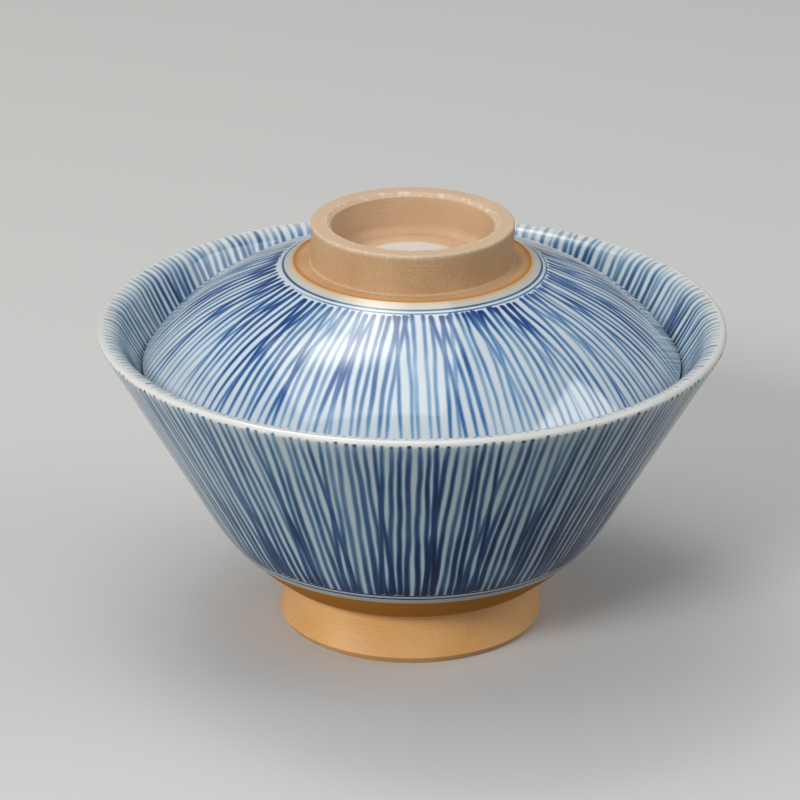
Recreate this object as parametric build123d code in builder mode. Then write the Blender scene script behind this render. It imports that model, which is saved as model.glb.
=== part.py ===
# A donburi bowl with a domed lid that sits inside the bowl's lip. All sizes are in millimetres.
# +Z is up. The origin is on the bowl's axis, at the height of the surface that it stands on.
import os
from math import asin, atan2, cos, degrees, hypot, radians, sin, tan

from build123d import *

# Bowl: outside
rim_radius = 77.5
bowl_height = 78.15
lip_round = 1.1
base_radius = 34.6
base_edge_round = 0.6
underside_rise = 38.0  # degrees above level
underside_straight = 3.65  # between the base's rounded edge and the belly's curve
belly_reach = 11.0  # from where underside and wall would meet to either end of the belly's curve

# Bowl: inside
wall_thickness = 4.4
lip_flat = 0.1  # left on the lip between its outer and its inner round
floor_thickness = 5.0
well_radius = 30.0

# Foot ring
foot_height = 13.7
foot_setback = 3.1  # of the foot's top from the edge of the bowl's base
foot_spread = 1.5  # from the foot's top out to its lower arris
foot_bevel_height = 1.8
foot_bevel_width = 1.2
foot_flare_radius = 36.0
foot_wall = 5.0
foot_inner_chamfer = 0.9

# Lid: how it sits in the bowl
lid_seat_depth = 10.65  # from the bowl's lip down to the middle of the lid's edge
seat_clearance = 0.3

# Lid: dome
lid_thickness = 3.6
lid_edge_flat = 0.4  # left across the lid's edge between its two rounds
lid_top_height = 26.6  # from the middle of the lid's edge up to the flat top
lid_top_radius = 29.2
lid_top_round = 9.0
shoulder_slope = 56.0  # degrees below level
shoulder_straight = 0.45  # between the edge's round and the shoulder's curve
shoulder_reach = 16.1  # from where crown and edge would meet to either end of the shoulder's curve

# Grip ring
grip_height = 10.2
grip_ledge = 4.2  # of the lid's top that is left around the grip
grip_waist = 0.25
grip_wall = 5.0
grip_outer_round = 0.6
grip_inner_chamfer = 1.0
grip_step_width = 0.5
grip_step_height = 0.6
grip_cove_width = 1.3
grip_cove_height = 0.2
grip_cove_round = 1.2


def meet(point_a, angle_a, point_b, angle_b):
    # The crossing of two lines in a section, each given by a point and its angle above level, in degrees.
    turn_a = radians(angle_a)
    turn_b = radians(angle_b)
    across = point_b[0] - point_a[0]
    up = point_b[1] - point_a[1]
    along = (across * sin(turn_b) - up * cos(turn_b)) / sin(turn_b - turn_a)
    return (point_a[0] + along * cos(turn_a), point_a[1] + along * sin(turn_a))


# Bowl's underside, belly and wall, as (radius, height): the wall runs from the belly to touch the lip's round
rise = radians(underside_rise)
underside_length = base_edge_round * tan(rise / 2) + underside_straight + belly_reach
belly_corner = (base_radius + underside_length * cos(rise), foot_height + underside_length * sin(rise))
lip_across = rim_radius - lip_round - belly_corner[0]
lip_up = bowl_height - lip_round - belly_corner[1]
wall = atan2(lip_up, lip_across) - asin(lip_round / hypot(lip_across, lip_up))
wall_angle = degrees(wall)
belly_radius = belly_reach / tan((wall - rise) / 2)

# Lip: the inner round takes what the outer one leaves of the wall's width
rim_corner = meet(belly_corner, wall_angle, (0, bowl_height), 0)
lip_width = wall_thickness / sin(wall)
inner_rim_corner = (rim_corner[0] - lip_width, bowl_height)
lip_inner_round = (lip_width - lip_flat - lip_round / tan(wall / 2)) / tan(wall / 2)

# Bowl body
inner_floor = foot_height + floor_thickness
well_corner = meet((0, inner_floor), 0, inner_rim_corner, wall_angle)

with BuildPart() as bowl_body:
    with BuildSketch(Plane.XZ):
        with BuildLine():
            FilletPolyline(
                (0, foot_height),
                (base_radius, foot_height),
                belly_corner,
                rim_corner,
                inner_rim_corner,
                well_corner,
                (0, inner_floor),
                radius=(0, base_edge_round, belly_radius, lip_round, lip_inner_round, well_radius, 0),
                close=True,
            )
        make_face()
    revolve(axis=Axis.Z)

# Foot ring, seated on the bowl's flat base
foot_top_radius = base_radius - foot_setback
foot_arris_radius = foot_top_radius + foot_spread
foot_rest_radius = foot_arris_radius - foot_bevel_width

with BuildPart() as bowl_foot_ring:
    with BuildSketch(Plane.XZ):
        with BuildLine():
            flare = RadiusArc(
                (foot_arris_radius, foot_bevel_height), (foot_top_radius, foot_height), foot_flare_radius
            )
            Polyline(
                flare @ 0,
                (foot_rest_radius, 0),
                (foot_rest_radius - foot_wall + foot_inner_chamfer, 0),
                (foot_rest_radius - foot_wall, foot_inner_chamfer),
                (foot_top_radius - foot_wall, foot_height),
                flare @ 1,
            )
        make_face()
    revolve(axis=Axis.Z)

# Lid's edge, seated inside the bowl's wall
lid_edge_middle = bowl_height - lid_seat_depth
lid_edge_round = (lid_thickness - lid_edge_flat) / 2
wall_at_lid_edge = inner_rim_corner[0] - lid_seat_depth / tan(wall)
lid_edge_radius = wall_at_lid_edge - (lid_edge_round + seat_clearance) / sin(wall)

# Lid's shoulder and crown, outside
shoulder = radians(shoulder_slope)
edge_bottom = lid_edge_middle - lid_edge_round
edge_run = lid_edge_round / tan(shoulder / 2)
edge_corner = (lid_edge_radius + edge_run, edge_bottom)
shoulder_length = edge_run + shoulder_straight + shoulder_reach
shoulder_corner = (edge_corner[0] - shoulder_length * cos(shoulder), edge_bottom + shoulder_length * sin(shoulder))
lid_top = lid_edge_middle + lid_top_height
crown = atan2(lid_top - shoulder_corner[1], shoulder_corner[0] - lid_top_radius)
crown_slope = degrees(crown)
shoulder_radius = shoulder_reach / tan((shoulder - crown) / 2)

# Lid's inside, one wall thickness below
inner_top = lid_top - lid_thickness
inner_crown = (lid_top_radius, lid_top - lid_thickness / cos(crown))
inner_edge_corner = (edge_corner[0] - lid_thickness / sin(shoulder), edge_bottom)
inner_top_corner = meet((0, inner_top), 0, inner_crown, -crown_slope)
inner_shoulder_corner = meet(inner_crown, -crown_slope, inner_edge_corner, -shoulder_slope)

with BuildPart() as lid_dome:
    with BuildSketch(Plane.XZ):
        with BuildLine():
            FilletPolyline(
                (0, inner_top),
                inner_top_corner,
                inner_shoulder_corner,
                inner_edge_corner,
                edge_corner,
                shoulder_corner,
                (lid_top_radius, lid_top),
                (0, lid_top),
                radius=(
                    0,
                    lid_top_round - lid_thickness,
                    shoulder_radius - lid_thickness,
                    lid_edge_round,
                    lid_edge_round,
                    shoulder_radius,
                    lid_top_round,
                    0,
                ),
                close=True,
            )
        make_face()
    revolve(axis=Axis.Z)

# Grip ring, seated on the lid's flat top
grip_top = lid_top + grip_height
grip_radius = lid_top_radius - grip_ledge
grip_inner_radius = grip_radius - grip_wall
grip_base_radius = grip_radius - grip_waist
cove_top = lid_top + grip_cove_height
step_top = lid_top + grip_step_height

with BuildPart() as lid_grip_ring:
    with BuildSketch(Plane.XZ):
        with BuildLine():
            FilletPolyline(
                (grip_inner_radius - grip_cove_width, lid_top),
                (grip_base_radius + grip_step_width, lid_top),
                (grip_base_radius + grip_step_width, step_top),
                (grip_base_radius, step_top),
                (grip_radius, grip_top),
                (grip_inner_radius + grip_inner_chamfer, grip_top),
                (grip_inner_radius, grip_top - grip_inner_chamfer),
                (grip_inner_radius, cove_top),
                (grip_inner_radius - grip_cove_width, cove_top),
                radius=(0, 0, 0, 0, grip_outer_round, 0, 0, grip_cove_round, 0),
                close=True,
            )
        make_face()
    revolve(axis=Axis.Z)

# One file for each piece
bowl_body.part.label = "bowl_body"
bowl_foot_ring.part.label = "bowl_foot_ring"
lid_dome.part.label = "lid_dome"
lid_grip_ring.part.label = "lid_grip_ring"

os.makedirs("parts", exist_ok=True)
export_step(bowl_body.part, "parts/bowl_body.step")
export_step(bowl_foot_ring.part, "parts/bowl_foot_ring.step")
export_step(lid_dome.part, "parts/lid_dome.step")
export_step(lid_grip_ring.part, "parts/lid_grip_ring.step")
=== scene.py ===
import math

import bmesh
import bpy
from mathutils import Matrix, Vector


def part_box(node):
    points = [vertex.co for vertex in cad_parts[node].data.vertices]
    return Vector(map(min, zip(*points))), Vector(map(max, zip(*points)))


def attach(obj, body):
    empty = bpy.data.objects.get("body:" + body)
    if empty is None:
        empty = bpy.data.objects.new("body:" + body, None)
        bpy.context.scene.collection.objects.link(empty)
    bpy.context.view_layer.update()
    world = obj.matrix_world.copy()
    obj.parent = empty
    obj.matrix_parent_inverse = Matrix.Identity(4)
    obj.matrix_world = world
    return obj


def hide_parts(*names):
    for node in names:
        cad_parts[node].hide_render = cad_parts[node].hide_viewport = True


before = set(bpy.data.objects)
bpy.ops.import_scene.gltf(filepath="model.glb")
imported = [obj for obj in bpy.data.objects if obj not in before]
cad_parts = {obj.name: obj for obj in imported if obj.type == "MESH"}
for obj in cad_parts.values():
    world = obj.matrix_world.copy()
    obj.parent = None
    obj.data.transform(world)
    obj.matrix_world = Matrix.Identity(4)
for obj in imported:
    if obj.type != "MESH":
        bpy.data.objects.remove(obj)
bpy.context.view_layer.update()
mm = 0.001  # sizes below are in millimetres, meshes in metres
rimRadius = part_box("bowl_body")[1].x / mm
baseHeight, lipHeight = (corner.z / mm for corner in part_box("bowl_body"))
print("frame loaded:", len(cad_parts), "nodes")

meshing = {
    "roundSteps": 256,  # faces around the axis
    "longestRun": 2.4,  # longest face along an outline
    "widestTurn": math.radians(7),  # most that an outline turns from face to face
    "arcSteps": 3,  # fewest faces along an arc
    "sharpAngle": math.radians(38),
    "mergeWithin": 0.002,
}


# Outlines are drawn as (radius, height) in the plane y = 0 and then spun about the axis

def lastPoint(bm):
    bm.verts.ensure_lookup_table()
    return bm.verts[-1]


def startOutline(r, z):
    bm = bmesh.new()
    bm.verts.new((r * mm, 0, z * mm))
    return bm


def lineTo(bm, r, z):
    tip = lastPoint(bm)
    path = Vector((r * mm, 0, z * mm)) - tip.co
    steps = max(1, math.ceil(path.length / (meshing["longestRun"] * mm)))
    for step in range(steps):
        tip = bmesh.ops.extrude_vert_indiv(bm, verts=[tip])["verts"][0]
        bmesh.ops.translate(bm, verts=[tip], vec=path / steps)


def arcAbout(bm, r, z, turn):
    tip = lastPoint(bm)
    centre = Vector((r * mm, 0, z * mm))
    run = abs(turn) * (tip.co - centre).length
    stepsByTurn = math.ceil(abs(turn) / meshing["widestTurn"])
    stepsByRun = math.ceil(run / (meshing["longestRun"] * mm))
    steps = max(meshing["arcSteps"], stepsByTurn, stepsByRun)
    bmesh.ops.spin(bm, geom=[tip], cent=centre, axis=(0, -1, 0), angle=turn, steps=steps)


def roundCorner(bm, corner, after, radius):
    tip = lastPoint(bm).co
    here = Vector((tip.x, tip.z)) / mm
    comes = (Vector(corner) - here).normalized()
    goes = (Vector(after) - Vector(corner)).normalized()
    turn = math.atan2(comes.x * goes.y - comes.y * goes.x, comes.dot(goes))
    start = Vector(corner) - comes * radius * math.tan(abs(turn) / 2)
    inward = Vector((-comes.y, comes.x)) * math.copysign(radius, turn)
    lineTo(bm, *start)
    arcAbout(bm, *(start + inward), turn)


# Each point is (radius, height), with a third number where the corner is rounded
def followOutline(bm, points):
    for point, after in zip(points, points[1:]):
        if len(point) == 3:
            roundCorner(bm, point[:2], after[:2], point[2])
        else:
            lineTo(bm, *point)
    lineTo(bm, *points[-1][:2])


# Where two lines of an outline meet, each given by a point and its angle above level
def crossing(pointA, angleA, pointB, angleB):
    across, up = pointB[0] - pointA[0], pointB[1] - pointA[1]
    along = (across * math.sin(angleB) - up * math.cos(angleB)) / math.sin(angleB - angleA)
    return (pointA[0] + along * math.cos(angleA), pointA[1] + along * math.sin(angleA))


# pickFinish takes a face's radius, height and upward slope, and gives its material
def turnPiece(bm, name, finishes, pickFinish):
    bmesh.ops.spin(bm, geom=bm.verts[:] + bm.edges[:], cent=(0, 0, 0), axis=(0, 0, 1), angle=math.tau,
                   steps=meshing["roundSteps"], use_merge=True)
    bmesh.ops.remove_doubles(bm, verts=bm.verts, dist=meshing["mergeWithin"] * mm)
    bmesh.ops.recalc_face_normals(bm, faces=bm.faces)
    for face in bm.faces:
        middle = face.calc_center_median()
        finish = pickFinish(math.hypot(middle.x, middle.y) / mm, middle.z / mm, face.normal.z)
        face.smooth = True
        face.material_index = finishes.index(finish)
    for edge in bm.edges:
        edge.smooth = edge.calc_face_angle(0) < meshing["sharpAngle"]
    mesh = bpy.data.meshes.new(name)
    bm.to_mesh(mesh)
    bm.free()
    for finish in finishes:
        mesh.materials.append(finish)
    piece = bpy.data.objects.new(name, mesh)
    bpy.context.scene.collection.objects.link(piece)
    print("piece", name, len(mesh.polygons), "faces")
    return piece


# Shader maths: a Flow is a socket that can be added, multiplied and so on
class Flow:
    def __init__(self, tree, socket=None):
        self.tree = tree
        self.socket = socket

    def node(self, kind, settings=None, sockets=None, out=0):
        made = self.tree.nodes.new(kind)
        for key, value in (settings or {}).items():
            setattr(made, key, value)
        for key, value in (sockets or {}).items():
            if isinstance(value, Flow):
                self.tree.links.new(value.socket, made.inputs[key])
            else:
                made.inputs[key].default_value = value
        return Flow(self.tree, made.outputs[out])

    def math(self, operation, *values):
        return self.node("ShaderNodeMath", {"operation": operation}, dict(enumerate(values)))

    def parts(self, kind="ShaderNodeSeparateXYZ"):
        first = self.node(kind, sockets={0: self})
        return [Flow(self.tree, socket) for socket in first.socket.node.outputs]

    def mix(self, other, share):  # this colour with a share of another
        return self.node("ShaderNodeMix", {"data_type": "RGBA"}, {0: share, 6: self, 7: other}, 2)

    def between(self, low, high):  # the colour low at 0, high at 1
        return self.node("ShaderNodeMix", {"data_type": "RGBA"}, {0: self, 6: low, 7: high}, 2)

    def clamped(self):
        return self.node("ShaderNodeClamp", sockets={0: self})

    def fade(self, low, high):  # 0 at low, 1 at high, soft between
        return self.node("ShaderNodeMapRange", {"interpolation_type": "SMOOTHSTEP"}, {0: self, 1: low, 2: high})

    def __add__(self, other):
        return self.math("ADD", self, other)

    def __sub__(self, other):
        return self.math("SUBTRACT", self, other)

    def __rsub__(self, other):
        return self.math("SUBTRACT", other, self)

    def __mul__(self, other):
        return self.math("MULTIPLY", self, other)

    def __truediv__(self, other):
        return self.math("DIVIDE", self, other)

    def __rtruediv__(self, other):
        return self.math("DIVIDE", other, self)

    def __pow__(self, other):
        return self.math("POWER", self, other)

    def __rpow__(self, other):
        return self.math("POWER", other, self)

    def __mod__(self, other):
        return self.math("FLOORED_MODULO", self, other)

    def __gt__(self, other):
        return self.math("GREATER_THAN", self, other)

    def __lt__(self, other):
        return self.math("LESS_THAN", self, other)

    def __abs__(self):
        return self.math("ABSOLUTE", self)

    __radd__ = __add__
    __rmul__ = __mul__


def newFinish(name):
    finish = bpy.data.materials.new(name)
    finish.use_nodes = True
    return finish, Flow(finish.node_tree)


def fillShader(finish, sockets):
    shader = finish.node_tree.nodes["Principled BSDF"]
    for key, value in sockets.items():
        if isinstance(value, Flow):
            finish.node_tree.links.new(value.socket, shader.inputs[key])
        else:
            shader.inputs[key].default_value = value


def surfacePlace(pen):  # a point on the surface, in millimetres
    place = pen.node("ShaderNodeTexCoord", out="Object")
    return pen.node("ShaderNodeVectorMath", {"operation": "SCALE"}, {0: place, "Scale": 1 / mm})


# Its height, its distance from the axis, and its turn about the axis from -0.5 to 0.5
def aboutAxis(pen, place):
    x, y, z = place.parts()
    radius = (x * x + y * y) ** 0.5
    return z, radius, pen.math("ARCTAN2", y, x) / math.tau


def stretched(pen, place, scale):
    return pen.node("ShaderNodeVectorMath", {"operation": "MULTIPLY"}, {0: place, 1: scale})


def cloud(pen, place, scale, detail=2.0, roughness=0.5):
    return pen.node("ShaderNodeTexNoise", {"noise_dimensions": "3D"},
                    {"Vector": place, "Scale": scale, "Detail": detail, "Roughness": roughness})


def chances(pen, number):  # three random values for a number
    drawn = pen.node("ShaderNodeTexWhiteNoise", {"noise_dimensions": "1D"}, {"W": number}, "Color")
    return drawn.parts("ShaderNodeSeparateColor")


def vary(chance, spread):  # spread is the least value and what a full chance adds to it
    return spread[0] + chance * spread[1]


# How much the strokes differ, and how paint behaves on the clay
hand = {
    "gather": (0.75, 0.5), "thickness": (0.76, 0.48), "swell": (0.8, 0.4), "dose": (0.45, 1.1),
    "beadPower": 3,  # so that few strokes start with a strong bead
    "trackStep": 7.7, "trackDetail": 1.5,  # each stroke has its own track through the noise
    "bareLoad": 0.001,  # so that bare ground doesn't divide by nothing
    "thinning": 0.535, "thickest": 2.2,  # how soon thick paint levels off, and where
}


# Painted strokes come in groups, one brushful each. A group is drawn nearly parallel, so where the surface
# narrows its outer strokes cross those of the next group. along runs from a stroke's free end, in mm.
def strokePaint(pen, brush, turn, along, radius):
    groups, count = brush["groups"], brush["strokes"]
    part = (along / brush["length"]).clamped()
    place = turn * groups
    home = pen.math("ROUND", place)
    offset = place - home
    side = pen.math("SIGN", offset)
    pitch = radius * (math.tau / (groups * count))
    tone = brush["freeTone"] + part * (brush["endTone"] - brush["freeTone"])
    broad = (brush["width"] + part * (brush["endWidth"] - brush["width"])) / 2
    load, denser, wash = hand["bareLoad"], 0, 0
    for group, away in ((home, offset), (home + side, offset - side)):
        groupId = group % groups
        wider, leaning, slipped = chances(pen, groupId + brush["seed"])
        crowd = 1 + part ** brush["gatherPower"] * (brush["gather"] * vary(wider, hand["gather"]))
        lean = (leaning - 0.5) * part * brush["lean"] + (slipped - 0.5) * brush["slip"]
        across = (away - lean) * count / crowd + (count - 1) / 2
        first = pen.math("FLOOR", across)
        for stroke in (first, first + 1):
            inGroup = (stroke > -0.5) * (stroke < count - 0.5)
            strokeId = groupId * count + stroke + brush["seed"]
            aside, thick, strong = chances(pen, strokeId + 0.5)  # apart from the groups' chances
            track = pen.node("ShaderNodeCombineXYZ",
                             sockets={0: strokeId * hand["trackStep"], 1: along / brush["wave"]})
            sway = pen.node("ShaderNodeTexNoise", {"noise_dimensions": "2D"},
                            {"Vector": track, "Scale": 1.0, "Detail": hand["trackDetail"]}, "Color")
            drift, swell, wetness = sway.parts("ShaderNodeSeparateColor")
            shift = (aside - 0.5) * brush["jitter"] + (drift - 0.5) * brush["wobble"]
            apart = abs(across - stroke - shift) * pitch * crowd
            since = along - aside * brush["startJitter"]
            until = brush["length"] - strong * brush["endJitter"] - along
            taper = brush["freeWidth"] + since.fade(0, brush["taper"]) * (1 - brush["freeWidth"])
            blunt = (until / brush["endRound"]).clamped() * (since / brush["startRound"]).clamped()
            half = taper * blunt ** 0.5 * vary(thick, hand["thickness"]) * vary(swell, hand["swell"]) * broad
            stain = 1 - apart.fade(half - brush["soft"], half + brush["soft"])
            halo = 1 - apart.fade(half, half + brush["washWidth"])
            bead = 1 - since.fade(0, brush["beadLength"])
            pool = 1 - until.fade(0, brush["poolLength"])
            dose = vary(strong, hand["dose"]) * vary(wetness, hand["dose"])
            dose = dose * (brush["faint"] + since.fade(0, brush["fadeIn"]) * (1 - brush["faint"]))
            dose = dose + bead * (thick ** hand["beadPower"] * brush["bead"]) + pool * brush["pool"]
            shown = inGroup * (since > 0) * (until > 0)
            laid = stain * dose * shown
            load = load + laid
            denser = denser + laid * laid
            wash = wash + halo * dose * shown
    # crossing strokes don't darken each other, wet paint fills the narrow gaps, and thick paint levels off
    paint = pen.math("MAXIMUM", denser / load, wash * brush["wash"]) * tone
    return (1 - hand["thinning"] ** paint) * hand["thickest"]


patches = {"scale": 0.045, "limits": (0.36, 0.64)}


# Some patches took more of the paint than others
def unevenly(pen, place, paint, share):
    patch = cloud(pen, place, patches["scale"]).fade(*patches["limits"])
    return paint * (1 - share + patch * (2 * share))


# The strokes are paler towards one side, which is measured on the given coordinate
def palerTowards(paint, coordinate, coat):
    return paint * (coat["palerShare"] + coordinate.fade(*coat["palerFrom"]) * (1 - coat["palerShare"]))


ringLine = {"patchScale": 0.12, "patchy": (0.6, 0.8), "full": 0.3, "gone": 0.72}  # full and gone in line widths


# A painted line round the piece, measured across on the given coordinate
def ringPaint(pen, place, coordinate, at, width, density):
    patchy = vary(cloud(pen, place, ringLine["patchScale"]), ringLine["patchy"])
    off = abs(coordinate - at)
    return (1 - off.fade(width * ringLine["full"], width * ringLine["gone"])) * patchy * density


# Cobalt under clear glaze: each channel falls off with the paint's density
def paintedColour(pen, ground, paint, cobalt):
    channels = ground.parts("ShaderNodeSeparateColor")
    stained = [channel * (left ** paint) for channel, left in zip(channels, cobalt)]
    return pen.node("ShaderNodeCombineColor", sockets=dict(enumerate(stained)))


# Noise here and in the clay is given as scale, detail and roughness
glaze = {
    "white": (0.60, 0.65, 0.665, 1), "shade": (0.56, 0.635, 0.68, 1),
    "mottle": (0.09, 3), "mottleLimits": (0.3, 0.7),
    "tintShare": 0.5,  # of the wall's or the lid's tint, the wall's being darker as painted shade
    "lip": (0.70, 0.70, 0.67, 1), "lipShare": 0.85,
    "cream": (0.53, 0.51, 0.45, 1),
    # paler than the white ground: plain glaze with painted light for the shaded disc inside the grip
    "plainAndPaintedLight": (0.74, 0.715, 0.65, 1), "plainAndPaintedLightShare": 0.8,
    "halo": (0.60, 0.42, 0.20, 1),  # beside the bare clay
    "cobalt": (0.068, 0.19, 0.45),  # what one unit of paint leaves of red, green and blue
    "ripples": (0.045, 1.0), "rippleDepth": 0.05,
    "roughness": 0.09, "pinholes": (0.7, 3), "pinholeLimits": (0.4, 0.8), "pinholeShow": 0.06,
    "refraction": 1.6, "shine": 0.5,
}


def whiteGround(pen, place):
    mottled = cloud(pen, place, *glaze["mottle"]).fade(*glaze["mottleLimits"])
    return mottled.between(glaze["shade"], glaze["white"])


def finishGlaze(finish, pen, place, colour, shine=glaze["shine"]):
    ripples = cloud(pen, place, *glaze["ripples"])
    normal = pen.node("ShaderNodeBump",
                      sockets={"Height": ripples, "Distance": glaze["rippleDepth"] * mm, "Strength": 1.0})
    pinholes = cloud(pen, place, *glaze["pinholes"]).fade(*glaze["pinholeLimits"])
    fillShader(finish, {
        "Base Color": colour,
        "Roughness": glaze["roughness"] + pinholes * glaze["pinholeShow"],
        "Normal": normal,
        "IOR": glaze["refraction"],
        "Specular IOR Level": shine,
    })


# Outer wall
outerBrush = {
    "groups": 32, "strokes": 7, "seed": 11.0,
    "length": 52.5,  # mm of height from the lip to the upper ring line
    "gather": 0.55, "gatherPower": 1.4, "lean": 0.18, "slip": 0.05,
    "width": 0.80, "endWidth": 0.80, "soft": 0.15, "jitter": 0.3, "wobble": 0.5, "wave": 18.0,
    "freeWidth": 0.6, "taper": 3.0, "startJitter": 0.6, "startRound": 0.5,
    "endJitter": 0.5, "endRound": 0.35,
    "freeTone": 0.95, "endTone": 2.3, "faint": 0.55, "fadeIn": 6.0,
    "bead": 2.6, "beadLength": 1.1, "pool": 0.6, "poolLength": 4.0,
    "wash": 0.42, "washWidth": 0.5,
}
outerWall = {
    "paintTop": 77.5, "lipFrom": (75.6, 77.4), "edgeFrom": (23.7, 22.7),  # heights
    "upperRing": 25.0, "lowerRing": 23.75, "ringWidth": 0.45, "ringPaint": 1.9,
    "cobalt": (0.075, 0.17, 0.35),  # a greyer blue than the lid's, partly painted shade
    # darker than the lid's tint: painted shade on the wall under its own overhang
    "tint": (0.48, 0.60, 0.63, 1),
    "uneven": 0.2, "palerFrom": (-36.0, 3.0), "palerShare": 0.66,  # paler strokes at the left
    "shine": 0.13, "lipShine": 1.0,
}

wallGlaze, pen = newFinish("stripedWallGlaze")
place = surfacePlace(pen)
height, radius, turn = aboutAxis(pen, place)
paint = strokePaint(pen, outerBrush, turn, outerWall["paintTop"] - height, radius)
paint = unevenly(pen, place, paint, outerWall["uneven"])
paint = palerTowards(paint, place.parts()[0], outerWall)
for ring in ("upperRing", "lowerRing"):
    paint = paint + ringPaint(pen, place, height, outerWall[ring], outerWall["ringWidth"], outerWall["ringPaint"])
# the wall's ground is darker than the lid's: painted shade
ground = whiteGround(pen, place).mix(outerWall["tint"], glaze["tintShare"])
ground = ground.mix(glaze["lip"], height.fade(*outerWall["lipFrom"]))
ground = ground.mix(glaze["cream"], height.fade(*outerWall["edgeFrom"]))
finishGlaze(wallGlaze, pen, place, paintedColour(pen, ground, paint, outerWall["cobalt"]), outerWall["shine"])

# Unpainted lip
lipGlaze, pen = newFinish("plainLipGlaze")
place = surfacePlace(pen)
ground = whiteGround(pen, place).mix(glaze["lip"], glaze["lipShare"])
finishGlaze(lipGlaze, pen, place, ground, outerWall["lipShine"])

# Inner wall
innerBrush = {
    "groups": 30, "strokes": 7, "seed": 311.0,
    "length": 60.0,  # mm along the wall from the lip to the upper ring line
    "gather": 0.5, "gatherPower": 0.8, "lean": 0.10, "slip": 0.10,
    "width": 0.96, "endWidth": 1.0, "soft": 0.16, "jitter": 0.3, "wobble": 0.4, "wave": 18.0,
    "freeWidth": 0.75, "taper": 3.0, "startJitter": 0.6, "startRound": 0.6,
    "endJitter": 0.7, "endRound": 0.9,
    "freeTone": 0.85, "endTone": 1.5, "faint": 0.2, "fadeIn": 12.0,
    "bead": 0.0, "beadLength": 1.2, "pool": 0.6, "poolLength": 3.0,
    "wash": 0.42, "washWidth": 0.5,
}
innerWall = {
    "paintEdge": 76.3,  # radius on the lip
    "drop": 0.57,  # share of the depth below the lip that counts as way along the wall
    "lipFrom": (5.0, 1.0), "upperRing": 60.6, "lowerRing": 62.6,  # along the wall
    "ringWidth": 0.45, "ringPaint": 1.2, "uneven": 0.25,
}

wellGlaze, pen = newFinish("stripedWellGlaze")
place = surfacePlace(pen)
height, radius, turn = aboutAxis(pen, place)
along = innerWall["paintEdge"] - radius + (lipHeight - height) * innerWall["drop"]
paint = strokePaint(pen, innerBrush, turn, along, radius)
paint = unevenly(pen, place, paint, innerWall["uneven"])
for ring in ("upperRing", "lowerRing"):
    paint = paint + ringPaint(pen, place, along, innerWall[ring], innerWall["ringWidth"], innerWall["ringPaint"])
ground = whiteGround(pen, place).mix(glaze["lip"], along.fade(*innerWall["lipFrom"]))
finishGlaze(wellGlaze, pen, place, paintedColour(pen, ground, paint, outerWall["cobalt"]))

# Lid
lidBrush = {
    "groups": 25, "strokes": 7, "seed": 707.0,
    "length": 33.6,  # mm of radius from the lid's edge to the outer ring line
    "gather": 0.75, "gatherPower": 1.7, "lean": 0.16, "slip": 0.08,
    "width": 0.86, "endWidth": 0.70, "soft": 0.15, "jitter": 0.3, "wobble": 0.6, "wave": 16.0,
    "freeWidth": 0.6, "taper": 10.0, "startJitter": 0.4, "startRound": 0.5,
    "endJitter": 0.8, "endRound": 0.7,
    "freeTone": 0.66, "endTone": 1.42, "faint": 0.75, "fadeIn": 10.0,
    "bead": 0.0, "beadLength": 1.0, "pool": 0.8, "poolLength": 3.0,
    "wash": 0.34, "washWidth": 0.45,
}
lidPaint = {
    "edge": 66.5, "creamFrom": (32.6, 31.2), "haloFrom": (30.3, 29.3),  # radii
    "innerRing": 31.75, "innerWidth": 0.50, "innerPaint": 1.0,
    "outerRing": 32.85, "outerWidth": 0.38, "outerPaint": 0.9,
    "outerFrom": (-32.0, -14.0),  # the outer ring line runs out at the left
    "tint": (0.585, 0.645, 0.69, 1),
    "uneven": 0.35, "palerFrom": (-54.0, -16.0), "palerShare": 0.74,  # paler strokes at the front: painted sheen
    "shine": 0.75,
}

lidGlaze, pen = newFinish("stripedLidGlaze")
place = surfacePlace(pen)
radius, turn = aboutAxis(pen, place)[1:]
paint = strokePaint(pen, lidBrush, turn, lidPaint["edge"] - radius, radius)
paint = unevenly(pen, place, paint, lidPaint["uneven"])
# painted sheen: the strokes are paler at the front of the lid
paint = palerTowards(paint, place.parts()[1], lidPaint)
innerRing, outerRing = (
    ringPaint(pen, place, radius, lidPaint[ring + "Ring"], lidPaint[ring + "Width"], lidPaint[ring + "Paint"])
    for ring in ("inner", "outer")
)
paint = paint + innerRing + outerRing * place.parts()[0].fade(*lidPaint["outerFrom"])
ground = whiteGround(pen, place).mix(lidPaint["tint"], glaze["tintShare"])
ground = ground.mix(glaze["cream"], radius.fade(*lidPaint["creamFrom"]))
ground = ground.mix(glaze["halo"], radius.fade(*lidPaint["haloFrom"]))
finishGlaze(lidGlaze, pen, place, paintedColour(pen, ground, paint, glaze["cobalt"]), lidPaint["shine"])

# Plain glaze under the lid and in the two small discs, paler than the white ground as painted light for the disc that
# lies in shade at the bottom of the grip
plainGlazeWithPaintedLight, pen = newFinish("plainGlazeWithPaintedLight")
place = surfacePlace(pen)
finishGlaze(plainGlazeWithPaintedLight, pen, place, whiteGround(pen, place).mix(glaze["plainAndPaintedLight"], glaze["plainAndPaintedLightShare"]))
print("glazes made")

clayGrain = {
    "blotch": (0.06, 3), "blotchLimits": (0.3, 0.7),
    "grain": (2.1, 3, 0.75), "dustLimits": (0.45, 0.8), "dustShow": 0.6, "pitLimits": (0.42, 0.2), "pitShow": 0.3,
    "specks": (1.5, 1), "speckLimits": (0.70, 0.78), "speckShow": 0.3,
    "lines": (1.0, 2.5, 0.65), "lineStretch": (0.05, 0.05, 1.9), "lineLimits": (0.55, 0.75), "lineShow": 0.4,
    "dullness": 0.2,  # what the grain adds to the roughness
}


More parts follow.
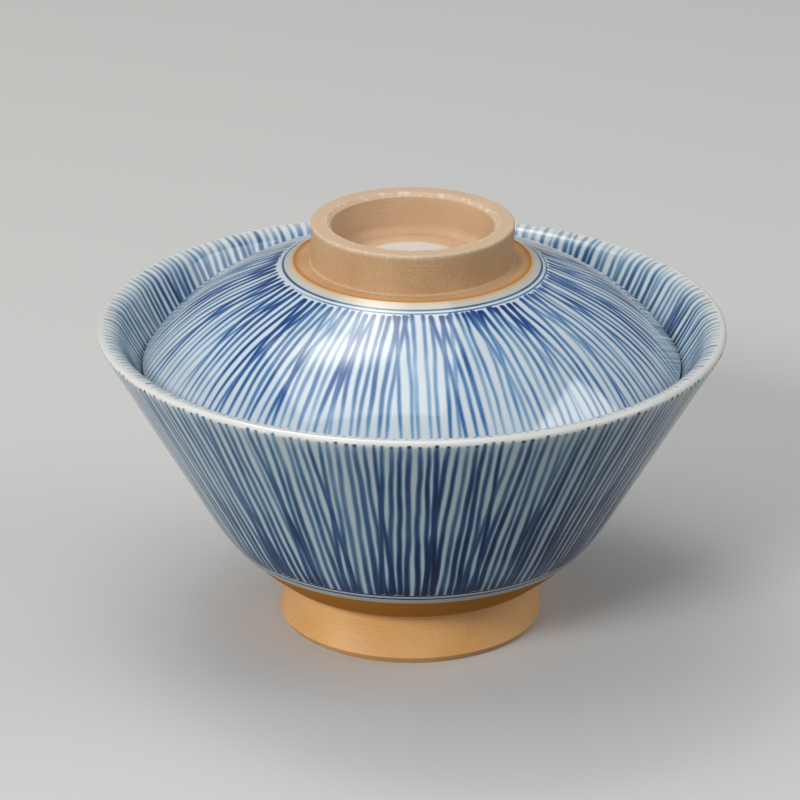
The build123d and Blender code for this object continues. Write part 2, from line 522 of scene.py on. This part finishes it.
# Bare clay: sandy grain, fine turning lines and a few specks
def clayFinish(name, clay):
    finish, pen = newFinish(name)
    place = surfacePlace(pen)
    height, radius = aboutAxis(pen, place)[:2]
    blotch = cloud(pen, place, *clayGrain["blotch"]).fade(*clayGrain["blotchLimits"])
    grain = cloud(pen, place, *clayGrain["grain"])
    lines = cloud(pen, stretched(pen, place, clayGrain["lineStretch"]), *clayGrain["lines"])
    specks = cloud(pen, place, *clayGrain["specks"]).fade(*clayGrain["speckLimits"])
    colour = blotch.between(clay["deep"], clay["light"])
    colour = colour.mix(clay["dust"], grain.fade(*clayGrain["dustLimits"]) * clayGrain["dustShow"])
    colour = colour.mix(clay["speck"], grain.fade(*clayGrain["pitLimits"]) * clayGrain["pitShow"])
    colour = colour.mix(clay["speck"], specks * clayGrain["speckShow"])
    colour = colour.mix(clay["deep"], lines.fade(*clayGrain["lineLimits"]) * clayGrain["lineShow"])
    # paler towards the inside; inside the grip this is painted light
    colour = colour.mix(clay["dust"], radius.fade(*clay["paleInsideFrom"]) * clay["paleInsideShow"])
    # the clay's toasting; under the bowl its dark brown is also painted shade
    colour = colour.mix(clay["toast"], radius.fade(*clay["toastFrom"]) * clay["toastShow"])
    if "rub" in clay:  # a worn lip, rubbed pale, with painted highlights glinting along its two edges, and a line that a tool left
        rubbed = height.fade(*clay["rubFrom"])
        edges = radius.fade(*clay["innerEdge"]) + radius.fade(*clay["outerEdge"]) * clay["outerShare"]
        # painted highlights: small pale glints along the lip's edges
        paintedGlints = cloud(pen, place, *clay["paintedGlints"]).fade(*clay["paintedGlintLimits"]) * edges * rubbed
        toolLine = 1 - abs(radius - clay["toolLine"]).fade(*clay["toolWidth"])
        colour = colour.mix(clay["rub"], (rubbed * vary(grain, clay["rubGrain"])).clamped() * clay["rubShow"])
        colour = colour.mix(clay["paintedHighlight"], paintedGlints * clay["paintedGlintShow"])
        colour = colour.mix(clay["dust"], toolLine * clay["toolShow"])
    rough = grain * clay["grainDepth"] + lines * clay["lineDepth"]
    normal = pen.node("ShaderNodeBump", sockets={"Height": rough, "Distance": mm, "Strength": 1.0})
    fillShader(finish, {
        "Base Color": colour,
        "Roughness": clay["roughness"] + grain * clayGrain["dullness"],
        "Normal": normal,
        "Specular IOR Level": clay["shine"],
    })
    return finish


footTone = {
    "light": (0.80, 0.425, 0.145, 1), "deep": (0.72, 0.36, 0.105, 1), "dust": (0.85, 0.55, 0.26, 1),
    "speck": (0.22, 0.10, 0.03, 1),
    "toast": (0.54, 0.20, 0.022, 1), "toastFrom": (33.4, 36.0), "toastShow": 0.92,  # under the bowl: the clay's toasting together with painted shade
    "paleInsideFrom": (28.6, 27.0), "paleInsideShow": 0.4,  # paler inside the foot
    "grainDepth": 0.05, "lineDepth": 0.06, "roughness": 0.3, "shine": 0.8,
}
# the underside: toasted clay, its dark brown also painted shade
shadedUndersideTone = {**footTone, "roughness": 0.65, "shine": 0.15}
gripTone = {
    "light": (0.57, 0.355, 0.185, 1), "deep": (0.48, 0.275, 0.125, 1), "dust": (0.70, 0.51, 0.35, 1),
    "speck": (0.20, 0.11, 0.05, 1),
    "toast": (0.50, 0.18, 0.025, 1), "toastFrom": (27.5, 28.9), "toastShow": 0.9,  # where the glaze starts
    "paleInsideFrom": (21.0, 20.0), "paleInsideShow": 0.5,  # painted light: paler inside the grip
    "rub": (0.64, 0.48, 0.34, 1), "rubFrom": (102.9, 104.0), "rubGrain": (0.55, 0.6), "rubShow": 0.9,
    # painted highlights: pale glints along the lip's inner and outer edges
    "paintedHighlight": (0.80, 0.72, 0.62, 1), "paintedGlints": (0.7, 3), "paintedGlintLimits": (0.48, 0.66), "paintedGlintShow": 0.54,
    "innerEdge": (21.9, 21.3), "outerEdge": (24.3, 24.8), "outerShare": 0.5,
    "toolLine": 25.25, "toolWidth": (0.05, 0.22), "toolShow": 0.5,  # round the grip's base
    "grainDepth": 0.07, "lineDepth": 0.09, "roughness": 0.6, "shine": 0.35,
}
footClay = clayFinish("bareFootClay", footTone)
shadedUndersideClay = clayFinish("toastedAndShadedUndersideClay", shadedUndersideTone)
gripClay = clayFinish("bareGripClay", gripTone)
print("clays made")

# Bowl: sizes as in the solid, with the rim's radius and the base's and lip's heights from its box
bowl = {
    "lipRound": 1.1, "baseRadius": 34.6, "baseEdgeRound": 0.6,
    "undersideRise": math.radians(38), "undersideStraight": 3.65, "bellyReach": 11.0,
    "wallThickness": 4.4, "lipFlat": 0.1, "floorThickness": 5.0, "wellRadius": 30.0,
    "glazeEdge": 44.2,  # radius on the belly at which the glaze stops
    "glazeRoll": 0.22,  # how far the glaze stands proud there
    "paintSplit": 76.3,  # radius on the lip at which the inner strokes start
    "lipStart": 77.8,  # height on the lip at which the outer strokes have started
    "discRadius": 17.0, "discRise": 0.2, "discRound": 0.16,  # glazed disc inside the foot
}
rise = bowl["undersideRise"]
undersideLength = bowl["baseEdgeRound"] * math.tan(rise / 2) + bowl["undersideStraight"] + bowl["bellyReach"]
bellyCorner = (bowl["baseRadius"] + undersideLength * math.cos(rise), baseHeight + undersideLength * math.sin(rise))
lipAcross = rimRadius - bowl["lipRound"] - bellyCorner[0]
lipUp = lipHeight - bowl["lipRound"] - bellyCorner[1]
wallSlope = math.atan2(lipUp, lipAcross) - math.asin(bowl["lipRound"] / math.hypot(lipAcross, lipUp))
bellyRadius = bowl["bellyReach"] / math.tan((wallSlope - rise) / 2)
bellyStart = Vector(bellyCorner) - Vector((math.cos(rise), math.sin(rise))) * bowl["bellyReach"]
bellyEnd = Vector(bellyCorner) + Vector((math.cos(wallSlope), math.sin(wallSlope))) * bowl["bellyReach"]
bellyCentre = bellyStart + Vector((-math.sin(rise), math.cos(rise))) * bellyRadius
rimCorner = crossing(bellyCorner, wallSlope, (0, lipHeight), 0)
lipWidth = bowl["wallThickness"] / math.sin(wallSlope)
innerRim = (rimCorner[0] - lipWidth, lipHeight)
halfSlope = math.tan(wallSlope / 2)
lipInnerRound = (lipWidth - bowl["lipFlat"] - bowl["lipRound"] / halfSlope) / halfSlope
innerFloor = baseHeight + bowl["floorThickness"]
wellCorner = crossing((0, innerFloor), 0, innerRim, wallSlope)

# The glaze ends on the belly in a small roll, and above it eases back to the wall
edgeAngle = -math.acos((bowl["glazeEdge"] - bellyCentre.x) / bellyRadius)
edgeOut = Vector((math.cos(edgeAngle), math.sin(edgeAngle)))
rollTop = bellyCentre + edgeOut * (bellyRadius + bowl["glazeRoll"])
wallOut = Vector((math.sin(wallSlope), -math.cos(wallSlope)))
easeChord = rollTop - bellyEnd
easeRadius = -easeChord.length_squared / (2 * easeChord.dot(wallOut))
easeCentre = bellyEnd - wallOut * easeRadius
easeTurn = 2 * math.asin(easeChord.length / (2 * easeRadius))

bm = startOutline(0, baseHeight - bowl["discRise"])
followOutline(bm, [
    (bowl["discRadius"], baseHeight - bowl["discRise"], bowl["discRound"]),
    (bowl["discRadius"] + bowl["discRise"], baseHeight),
    (bowl["baseRadius"], baseHeight, bowl["baseEdgeRound"]),
    tuple(bellyStart),
])
arcAbout(bm, *bellyCentre, edgeAngle - (rise - math.pi / 2))
lineTo(bm, *rollTop)
arcAbout(bm, *easeCentre, easeTurn)
followOutline(bm, [
    (*rimCorner, bowl["lipRound"]),
    (*innerRim, lipInnerRound),
    (*wellCorner, bowl["wellRadius"]),
    (0, innerFloor),
])


def bowlFinish(r, z, up):
    if up > 0 and r < bowl["paintSplit"]:
        return wellGlaze
    if r > bowl["glazeEdge"]:
        return lipGlaze if z > bowl["lipStart"] else wallGlaze
    return plainGlazeWithPaintedLight if r < bowl["discRadius"] else shadedUndersideClay


bowlShell = turnPiece(bm, "glazedBowl", [wallGlaze, wellGlaze, plainGlazeWithPaintedLight, shadedUndersideClay, lipGlaze], bowlFinish)
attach(bowlShell, "bowl")
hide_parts("bowl_body")

# Foot ring
foot = {
    "topRadius": 31.5, "flareRadius": 36.0, "bevelHeight": 1.8, "bevelWidth": 1.2, "wall": 5.0,
    "innerChamfer": 0.9, "restRound": 0.25,
}
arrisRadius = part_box("bowl_foot_ring")[1].x / mm
restRadius = arrisRadius - foot["bevelWidth"]
flareFoot = Vector((arrisRadius, foot["bevelHeight"]))
flareTop = Vector((foot["topRadius"], baseHeight))
flareChord = flareFoot - flareTop
flareTurn = 2 * math.asin(flareChord.length / (2 * foot["flareRadius"]))
flareOut = Vector((-flareChord.y, flareChord.x)).normalized()
flareCentre = (flareFoot + flareTop) / 2 + flareOut * foot["flareRadius"] * math.cos(flareTurn / 2)

bm = startOutline(*flareTop)
arcAbout(bm, *flareCentre, flareTurn)
followOutline(bm, [
    (restRadius, 0, foot["restRound"]),
    (restRadius - foot["wall"] + foot["innerChamfer"], 0, foot["restRound"]),
    (restRadius - foot["wall"], foot["innerChamfer"]),
    (foot["topRadius"] - foot["wall"], baseHeight),
    tuple(flareTop),
])
footRing = turnPiece(bm, "turnedFootRing", [footClay], lambda r, z, up: footClay)
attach(footRing, "bowl")
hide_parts("bowl_foot_ring")

# Lid dome
lid = {
    "thickness": 3.6, "edgeFlat": 0.4,
    "topRadius": 29.2, "topRound": 9.0, "shoulderSlope": math.radians(56),
    "shoulderStraight": 0.45, "shoulderReach": 16.1,
    "glazeEdge": 29.2, "glazeRoll": 0.18,  # where the glaze starts, and how far it stands proud there
    "glazeEase": 36.0,  # radius at which it is back on the crown
    "discRadius": 12.4, "discRise": 0.2, "discRound": 0.16,  # glazed disc inside the grip
}
edgeBottom, lidTop = (corner.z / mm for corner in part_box("lid_dome"))
edgeRound = (lid["thickness"] - lid["edgeFlat"]) / 2
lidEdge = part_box("lid_dome")[1].x / mm - edgeRound
shoulder = lid["shoulderSlope"]
edgeRun = edgeRound / math.tan(shoulder / 2)
edgeCorner = (lidEdge + edgeRun, edgeBottom)
shoulderLength = edgeRun + lid["shoulderStraight"] + lid["shoulderReach"]
shoulderCorner = (edgeCorner[0] - shoulderLength * math.cos(shoulder), edgeBottom + shoulderLength * math.sin(shoulder))
crown = math.atan2(lidTop - shoulderCorner[1], shoulderCorner[0] - lid["topRadius"])
shoulderRadius = lid["shoulderReach"] / math.tan((shoulder - crown) / 2)
innerTop = lidTop - lid["thickness"]
innerCrown = (lid["topRadius"], lidTop - lid["thickness"] / math.cos(crown))
innerEdge = (edgeCorner[0] - lid["thickness"] / math.sin(shoulder), edgeBottom)
innerTopCorner = crossing((0, innerTop), 0, innerCrown, -crown)
innerShoulder = crossing(innerCrown, -crown, innerEdge, -shoulder)

# The flat top turns down into the crown on an arc, and the glaze starts half way along it
topCentre = Vector((lid["topRadius"] - lid["topRound"] * math.tan(crown / 2), lidTop - lid["topRound"]))
glazeAngle = math.acos((lid["glazeEdge"] - topCentre.x) / lid["topRound"])
glazeOut = Vector((math.cos(glazeAngle), math.sin(glazeAngle)))
easeDrop = (lid["glazeEase"] - lid["topRadius"]) * math.tan(crown)

bm = startOutline(0, innerTop)
followOutline(bm, [
    (*innerTopCorner, lid["topRound"] - lid["thickness"]),
    (*innerShoulder, shoulderRadius - lid["thickness"]),
    (*innerEdge, edgeRound),
    (*edgeCorner, edgeRound),
    (*shoulderCorner, shoulderRadius),
    (lid["glazeEase"], lidTop - easeDrop),
    tuple(topCentre + glazeOut * (lid["topRound"] + lid["glazeRoll"])),
    tuple(topCentre + glazeOut * lid["topRound"]),
])
arcAbout(bm, *topCentre, math.pi / 2 - glazeAngle)
followOutline(bm, [
    (lid["discRadius"] + lid["discRise"], lidTop),
    (lid["discRadius"], lidTop + lid["discRise"], lid["discRound"]),
    (0, lidTop + lid["discRise"]),
])


def lidFinish(r, z, up):
    if up < 0 and r < lidEdge or z < edgeBottom + edgeRound:
        return plainGlazeWithPaintedLight
    if r > lid["glazeEdge"]:
        return lidGlaze
    return plainGlazeWithPaintedLight if r < lid["discRadius"] else gripClay


lidDome = turnPiece(bm, "glazedLid", [lidGlaze, plainGlazeWithPaintedLight, gripClay], lidFinish)
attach(lidDome, "lid")
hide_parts("lid_dome")

# Grip ring
grip = {
    "radius": 25.0, "waist": 0.25, "wall": 5.0, "outerRound": 0.6, "innerChamfer": 1.0, "chamferRound": 0.2,
    "stepWidth": 0.5, "stepHeight": 0.35, "stepRound": 0.15, "coveWidth": 2.2, "coveHeight": 0.06, "coveRound": 2.0,
}
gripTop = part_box("lid_grip_ring")[1].z / mm
gripInner = grip["radius"] - grip["wall"]
gripBase = grip["radius"] - grip["waist"]
coveTop = lidTop + grip["coveHeight"]
stepTop = lidTop + grip["stepHeight"]

bm = startOutline(gripInner - grip["coveWidth"], lidTop)
followOutline(bm, [
    (gripBase + grip["stepWidth"], lidTop),
    (gripBase + grip["stepWidth"], stepTop, grip["stepRound"]),
    (gripBase, stepTop, grip["stepRound"]),
    (grip["radius"], gripTop, grip["outerRound"]),
    (gripInner + grip["innerChamfer"], gripTop, grip["chamferRound"]),
    (gripInner, gripTop - grip["innerChamfer"], grip["chamferRound"]),
    (gripInner, coveTop, grip["coveRound"]),
    (gripInner - grip["coveWidth"], coveTop),
    (gripInner - grip["coveWidth"], lidTop),
])
gripRing = turnPiece(bm, "turnedGripRing", [gripClay], lambda r, z, up: gripClay)
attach(gripRing, "lid")
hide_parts("lid_grip_ring")

# Floor: pale to the camera and in reflections, and darker to the light that it throws back
floorTone = {
    "colour": (0.62, 0.62, 0.61, 1), "bounce": (0.21, 0.21, 0.21, 1),
    "roughness": 0.8, "shine": 0.2, "reach": 3.0,  # metres each way
}
floorFinish, pen = newFinish("paleFloor")
direct, glossy, clear = (
    pen.node("ShaderNodeLightPath", out=ray) for ray in ("Is Camera Ray", "Is Glossy Ray", "Is Transmission Ray")
)
seen = (direct + glossy + clear).clamped()
fillShader(floorFinish, {
    "Base Color": seen.between(floorTone["bounce"], floorTone["colour"]),
    "Roughness": floorTone["roughness"],
    "Specular IOR Level": floorTone["shine"],
})
bm = bmesh.new()
bmesh.ops.create_grid(bm, x_segments=1, y_segments=1, size=floorTone["reach"])
floorMesh = bpy.data.meshes.new("floor")
bm.to_mesh(floorMesh)
bm.free()
floorMesh.materials.append(floorFinish)
floor = bpy.data.objects.new("floor", floorMesh)
bpy.context.scene.collection.objects.link(floor)
print("floor laid")

# Light: a large soft box overhead with a glow in it, one at the right, one in front and a low one at the left
lamps = {
    "overheadBox": {"at": (-0.33, 0.11, 1.29), "aim": (-0.33, 0.11, 0), "size": (1.14, 1.28), "watts": 5.8},
    "rightBox": {"at": (1.35, -0.1, 0.85), "aim": (0, 0, 0.06), "size": (0.9, 0.9), "watts": 6.0},
    "frontBox": {"at": (-0.8, -1.36, 1.08), "aim": (0, 0, 0.05), "size": (0.7, 0.4), "watts": 18.2},
    "lowLeftBox": {"at": (-1.33, -1.0, 0.16), "aim": (0, 0, 0.04), "size": (0.5, 0.34), "watts": 5.2},
}
glow = {
    "at": (-0.35, 0.355, 1.28), "size": (0.70, 0.56), "watts": 0.70, "colour": (1.0, 0.92, 0.78),
    "shares": (1.0, 0.88, 0.76, 0.66, 0.58, 0.5),  # sizes of the rounds that lie below each other
    "gap": 0.004, "drift": 0.06,  # from round to round, and of their middles
}
for step, share in enumerate(glow["shares"]):
    at = Vector(glow["at"]) + Vector((0, (1 - share) * glow["drift"], -glow["gap"] * step))
    lamps["glow" + str(step)] = {
        "at": at, "aim": (at.x, at.y, 0), "round": True, "colour": glow["colour"],
        "size": [side * share for side in glow["size"]], "watts": glow["watts"] * share * share,
    }
for name, lamp in lamps.items():
    light = bpy.data.lights.new(name, "AREA")
    light.shape = "ELLIPSE" if "round" in lamp else "RECTANGLE"
    light.size, light.size_y = lamp["size"]
    light.energy = lamp["watts"]
    light.color = lamp.get("colour", (1, 1, 1))
    holder = bpy.data.objects.new(name, light)
    holder.location = lamp["at"]
    direction = Vector(lamp["aim"]) - Vector(lamp["at"])
    holder.rotation_euler = direction.to_track_quat("-Z", "Y").to_euler()
    bpy.context.scene.collection.objects.link(holder)

studio = {"colour": (0.22, 0.23, 0.24, 1)}
world = bpy.data.worlds.new("studio")
world.use_nodes = True
world.node_tree.nodes["Background"].inputs["Color"].default_value = studio["colour"]
bpy.context.scene.world = world
print("lights:", len(lamps))

# Camera, at the photograph's angle
shot = {
    "at": (0, -1.0, 0.46672), "aim": (-0.00285, 0, 0.05695), "roll": 0.0057,
    "lens": 195.94, "sensor": 36.0,
}
lens = bpy.data.cameras.new("shot")
lens.lens = shot["lens"]
lens.sensor_width = shot["sensor"]
camera = bpy.data.objects.new("shot", lens)
look = (Vector(shot["aim"]) - Vector(shot["at"])).to_track_quat("-Z", "Y").to_matrix().to_4x4()
camera.matrix_world = Matrix.Translation(shot["at"]) @ look @ Matrix.Rotation(shot["roll"], 4, "Z")
bpy.context.scene.collection.objects.link(camera)
bpy.context.scene.camera = camera
bpy.context.scene.view_settings.view_transform = "Standard"
print("camera set")
